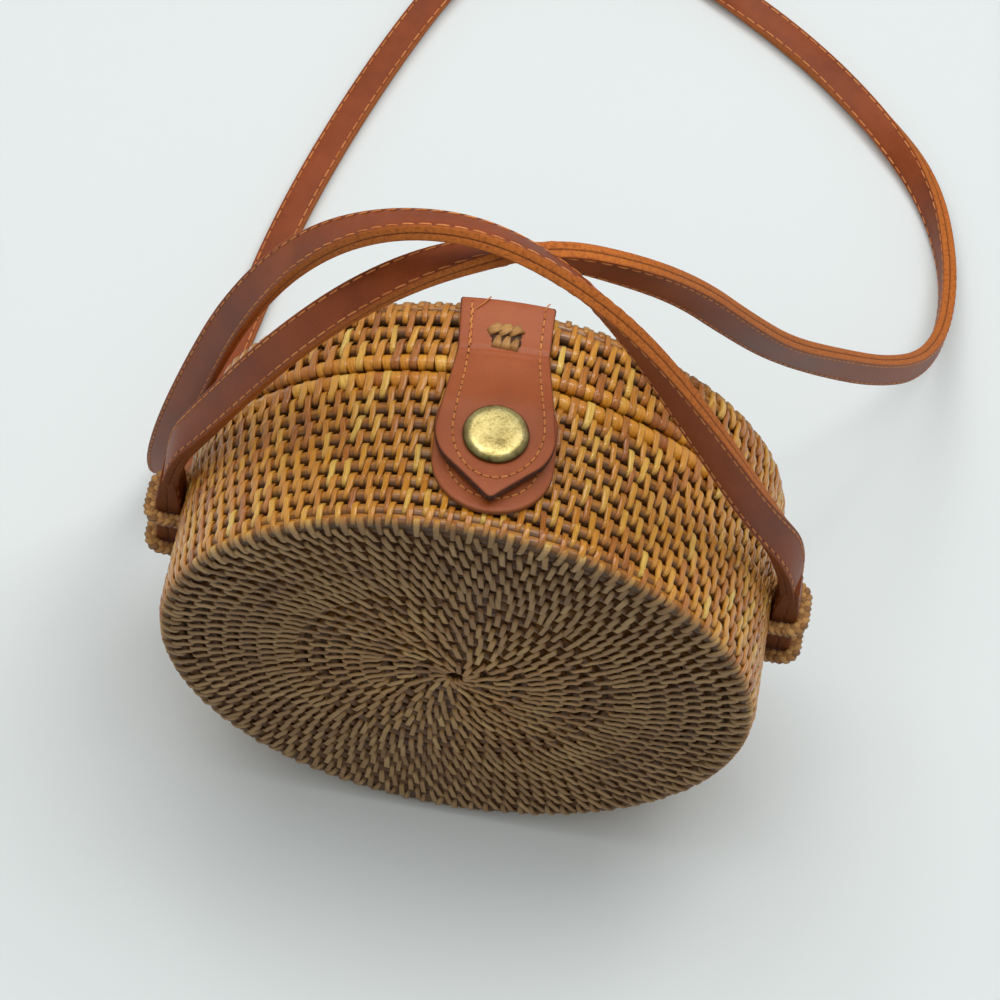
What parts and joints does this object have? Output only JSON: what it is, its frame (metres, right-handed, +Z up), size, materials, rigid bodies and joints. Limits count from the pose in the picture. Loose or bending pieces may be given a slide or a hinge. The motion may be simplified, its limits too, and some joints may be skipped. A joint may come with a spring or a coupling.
{
  "type": "round woven shoulder bag",
  "caption": "Round coiled-cane shoulder bag: deep woven front, hinged woven lid, snap-down leather tab and a long flat leather strap held in braided side loops.",
  "frame": {"origin": "on the table under the middle of the bag's depth and width, where it stands on its hinge loops", "axes": "+X from the left strap loops to the right ones, +Y from the front face to the lid's back, +Z up to the closure tab"},
  "size_m": [0.2552, 0.3628, 0.2679],
  "materials": {
    "woven_cane": "glossy golden-brown cane on the wall, drier grey-brown on the round face",
    "cane_rim": "wrapped cane, satin",
    "cane_cord": "plaited cane, satin",
    "strap_leather": "smooth cognac leather in two layers, stitched along both edges, raw orange-brown edges",
    "tab_leather": "smooth cognac leather, stitched near its edge",
    "lining_cloth": "plain woven cotton",
    "antique_brass": "antique brass, brushed and darkened",
    "spring_wire": "drawn wire"
  },
  "bodies": {
    "front": {"front_shell": "woven_cane", "front_rim_hoop": "cane_rim", "front_lining": "lining_cloth", "hinge_loop_left": "cane_cord", "hinge_loop_right": "cane_cord", "right_upper_loop": "cane_cord", "right_lower_loop": "cane_cord", "left_upper_loop": "cane_cord", "left_lower_loop": "cane_cord", "strap": "strap_leather", "strap_end_left": "strap_leather", "strap_end_right": "strap_leather", "snap_patch": "tab_leather", "snap_stud": "antique_brass", "snap_stud_back": "antique_brass"},
    "lid": {"lid_shell": "woven_cane", "lid_rim_hoop": "cane_rim", "lid_lining": "lining_cloth", "closure_tab_base": "tab_leather", "tab_lashing": "cane_cord"},
    "closure_tab": {"closure_tab_flap": "tab_leather", "snap_socket": "antique_brass", "socket_spring": "spring_wire", "snap_cap": "antique_brass"}
  },
  "joints": [
    {"name": "lid_hinge", "type": "hinge", "parent": "front", "child": "lid", "pos_m": [0, 0.0135, 0.0032], "axis": [-1, 0, 0], "range_deg": [0, 90]},
    {"name": "tab_flex", "type": "hinge", "parent": "lid", "child": "closure_tab", "pos_m": [-0.00057, 0.02044, 0.1845], "axis": [-0.9971, -0.0767, 0], "range_deg": [0, 100]}
  ]
}
